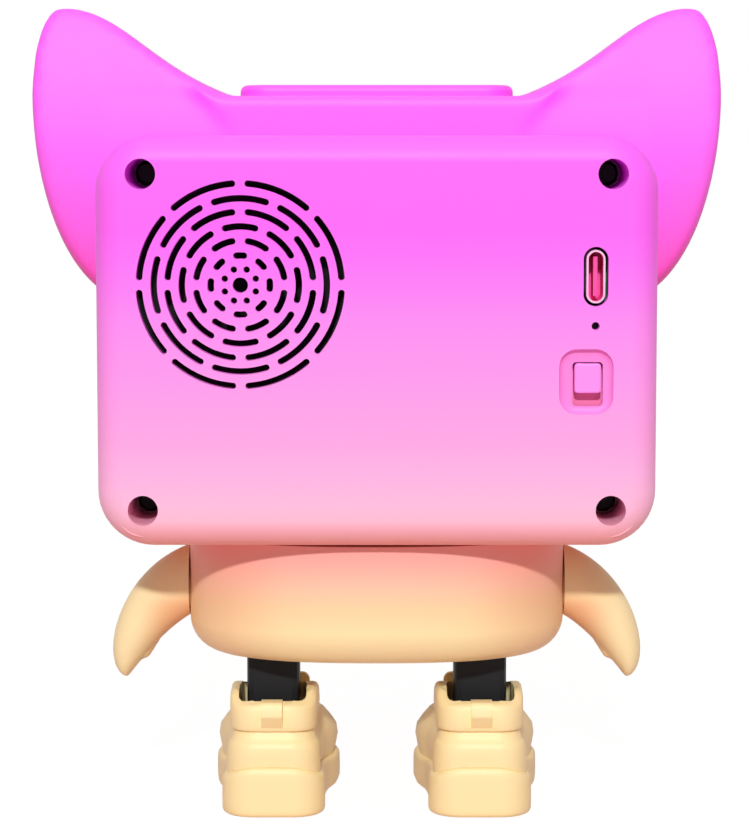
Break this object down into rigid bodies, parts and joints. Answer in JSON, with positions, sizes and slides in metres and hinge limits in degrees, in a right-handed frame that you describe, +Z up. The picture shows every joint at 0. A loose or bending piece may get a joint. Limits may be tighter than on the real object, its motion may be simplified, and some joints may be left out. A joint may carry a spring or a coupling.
{
  "type": "dancing alarm clock",
  "caption": "Desk alarm clock and speaker shaped as a small figure: a cat-eared box head over a torso with arms, geared legs and shoes, which sways side to side.",
  "frame": {"origin": "floor level under the middle of the figure", "axes": "+Z up; the display faces -Y and the speaker grille faces +Y; +X is the figure's own left"},
  "size_m": [0.1222, 0.058, 0.1413],
  "materials": {
    "pink_plastic": "satin, fading from magenta at the ears to pale pink at the chin",
    "salmon_plastic": "satin",
    "peach_plastic": "satin, fading from salmon at the top to cream at the hem",
    "cream_plastic": "satin",
    "black_plastic": "satin",
    "black_rubber": "matte",
    "circuit_board": "solder mask",
    "dark_lens": "smoked, polished",
    "cell_sleeve": "shrink sleeve",
    "steel": "plain"
  },
  "bodies": {
    "figure": {"front_housing": "pink_plastic", "rear_cover": "pink_plastic", "torso_chassis": "salmon_plastic", "torso_shell": "peach_plastic", "speaker_cone": "black_plastic", "battery_holder": "black_plastic", "led_module": "black_plastic", "tact_switch": "black_plastic", "neck_ring": "black_plastic", "control_board": "circuit_board", "display_board": "circuit_board", "button_board": "circuit_board", "display_lens": "dark_lens", "battery_cell": "cell_sleeve", "speaker_frame": "steel", "speaker_magnet": "steel", "usb_socket": "steel", "microphone": "steel", "slide_switch": "steel", "sway_motor": "steel", "left_hip_pin": "steel", "right_hip_pin": "steel", "left_shoulder_pin": "steel", "right_shoulder_pin": "steel", "cover_screw_1": "steel", "cover_screw_2": "steel", "cover_screw_3": "steel", "cover_screw_4": "steel", "display_board_screw_1": "steel", "display_board_screw_2": "steel", "display_board_screw_3": "steel", "display_board_screw_4": "steel", "control_board_screw_1": "steel", "control_board_screw_2": "steel", "button_board_screw_1": "steel", "button_board_screw_2": "steel", "neck_screw_1": "steel", "neck_screw_2": "steel", "neck_screw_3": "steel", "chassis_screw_1": "steel", "chassis_screw_2": "steel"},
    "snooze": {"snooze_button": "pink_plastic"},
    "power_switch": {"switch_knob": "pink_plastic"},
    "drive": {"drive_gear": "cream_plastic", "drive_shaft": "steel"},
    "left_leg": {"left_leg": "black_plastic"},
    "left_foot": {"left_shoe_upper": "cream_plastic", "left_shoe_sole": "cream_plastic", "left_sole_pad": "black_rubber", "left_ankle_pin": "steel"},
    "left_arm": {"left_arm": "peach_plastic"},
    "right_leg": {"right_leg": "black_plastic"},
    "right_foot": {"right_shoe_upper": "cream_plastic", "right_shoe_sole": "cream_plastic", "right_sole_pad": "black_rubber", "right_ankle_pin": "steel"},
    "right_arm": {"right_arm": "peach_plastic"}
  },
  "joints": [
    {"name": "snooze_press", "type": "slide", "parent": "figure", "child": "snooze", "axis": [0, 0, -1], "range_m": [0, 0.001], "stiffness_N_per_m": 500, "springref_m": -0.001},
    {"name": "power_switch_slide", "type": "slide", "parent": "figure", "child": "power_switch", "axis": [0, 0, -1], "range_m": [0, 0.002]},
    {"name": "left_hip", "type": "hinge", "parent": "figure", "child": "left_leg", "pos_m": [0.01835, 0.0045, 0.03747], "axis": [0, 1, 0], "range_deg": [-6, 6]},
    {"name": "right_hip", "type": "hinge", "parent": "figure", "child": "right_leg", "pos_m": [-0.01835, 0.0045, 0.03747], "axis": [0, 1, 0], "range_deg": [-6, 6]},
    {"name": "left_ankle", "type": "hinge", "parent": "left_leg", "child": "left_foot", "pos_m": [0.01835, 0.0045, 0.0134], "axis": [0, 1, 0], "range_deg": [-6, 6]},
    {"name": "right_ankle", "type": "hinge", "parent": "right_leg", "child": "right_foot", "pos_m": [-0.01835, 0.0045, 0.0134], "axis": [0, 1, 0], "range_deg": [-6, 6]},
    {"name": "drive_spin", "type": "hinge", "parent": "figure", "child": "drive", "pos_m": [0, 0.0045, 0.03747], "axis": [0, 1, 0], "range_deg": [-16.8, 16.8]},
    {"name": "left_shoulder", "type": "hinge", "parent": "figure", "child": "left_arm", "pos_m": [0.034, 0, 0.03897], "axis": [-1, 0, 0], "range_deg": [-60, 100]},
    {"name": "right_shoulder", "type": "hinge", "parent": "figure", "child": "right_arm", "pos_m": [-0.034, 0, 0.03897], "axis": [-1, 0, 0], "range_deg": [-60, 100]}
  ],
  "couplings": [
    {"joint": "right_hip", "follows": "left_hip", "ratio": 1},
    {"joint": "left_ankle", "follows": "left_hip", "ratio": -1},
    {"joint": "right_ankle", "follows": "left_hip", "ratio": -1},
    {"joint": "drive_spin", "follows": "left_hip", "ratio": -2.8}
  ]
}
